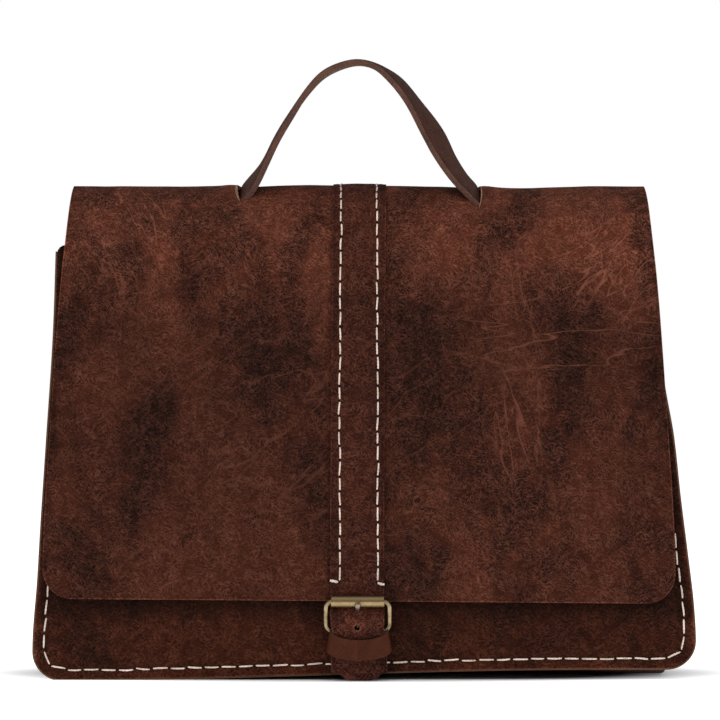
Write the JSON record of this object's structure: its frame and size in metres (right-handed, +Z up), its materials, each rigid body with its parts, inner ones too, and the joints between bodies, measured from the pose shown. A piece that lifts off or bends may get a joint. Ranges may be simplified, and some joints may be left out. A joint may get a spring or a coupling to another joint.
{
  "type": "satchel bag",
  "caption": "Leather satchel: a full flap over a gusseted body, closed by a stitched centre strap with roller buckle and keeper, with an arched top handle.",
  "frame": {"origin": "on the floor under the middle of the bag, on the underside of the base", "axes": "+Z up, front with the buckle faces -Y, +X is right as seen from the front"},
  "size_m": [0.4012, 0.1109, 0.38],
  "materials": {
    "panel_leather": "dark brown waxed leather, satin",
    "gusset_leather": "dark brown waxed leather, satin",
    "flap_leather": "dark red-brown waxed leather, satin, mottled",
    "strap_leather": "dark red-brown waxed leather, satin",
    "keeper_leather": "smooth red-brown leather, satin",
    "handle_leather": "dark brown leather with raw tan edges",
    "thread": "thick waxed thread, matte",
    "antique_brass": "antique brass, worn satin",
    "roller_brass": "antique brass, brushed"
  },
  "bodies": {
    "bag": {"front_panel": "panel_leather", "gusset_strip": "gusset_leather", "back_panel": "panel_leather", "front_seam_stitches": "thread", "back_seam_stitches": "thread", "back_strap": "strap_leather", "back_strap_stitches": "thread", "buckle_chape": "strap_leather", "chape_stitches": "thread"},
    "flap": {"flap_panel": "flap_leather", "flap_strap": "strap_leather", "flap_strap_stitches": "thread", "strap_tail": "strap_leather", "handle_root_left": "handle_leather", "handle_root_right": "handle_leather"},
    "handle": {"handle_strap": "handle_leather"},
    "buckle": {"buckle_frame": "antique_brass"},
    "roller": {"buckle_roller": "roller_brass"},
    "prong": {"buckle_prong": "antique_brass"},
    "keeper": {"keeper_loop": "keeper_leather"}
  },
  "joints": [
    {"name": "flap_open", "type": "hinge", "parent": "bag", "child": "flap", "pos_m": [0, 0.042, 0.2649], "axis": [-1, 0, 0], "range_deg": [0, 165], "deforming": ["strap_tail"]},
    {"name": "handle_tilt", "type": "hinge", "parent": "flap", "child": "handle", "pos_m": [0, -0.01, 0.3095], "axis": [1, 0, 0], "range_deg": [-50, 60], "deforming": ["handle_root_left", "handle_root_right"]},
    {"name": "buckle_lift", "type": "hinge", "parent": "bag", "child": "buckle", "pos_m": [-0.0008, -0.0506, 0.0298], "axis": [1, 0, 0], "range_deg": [0, 60]},
    {"name": "roller_spin", "type": "hinge", "parent": "buckle", "child": "roller", "pos_m": [-0.0008, -0.0555, 0.0482], "axis": [1, 0, 0], "continuous": true},
    {"name": "prong_lift", "type": "hinge", "parent": "buckle", "child": "prong", "pos_m": [-0.0008, -0.0506, 0.0298], "axis": [1, 0, 0], "range_deg": [0, 45]},
    {"name": "keeper_slide", "type": "slide", "parent": "bag", "child": "keeper", "axis": [0, 0, -1], "range_m": [0, 0.0065]}
  ]
}
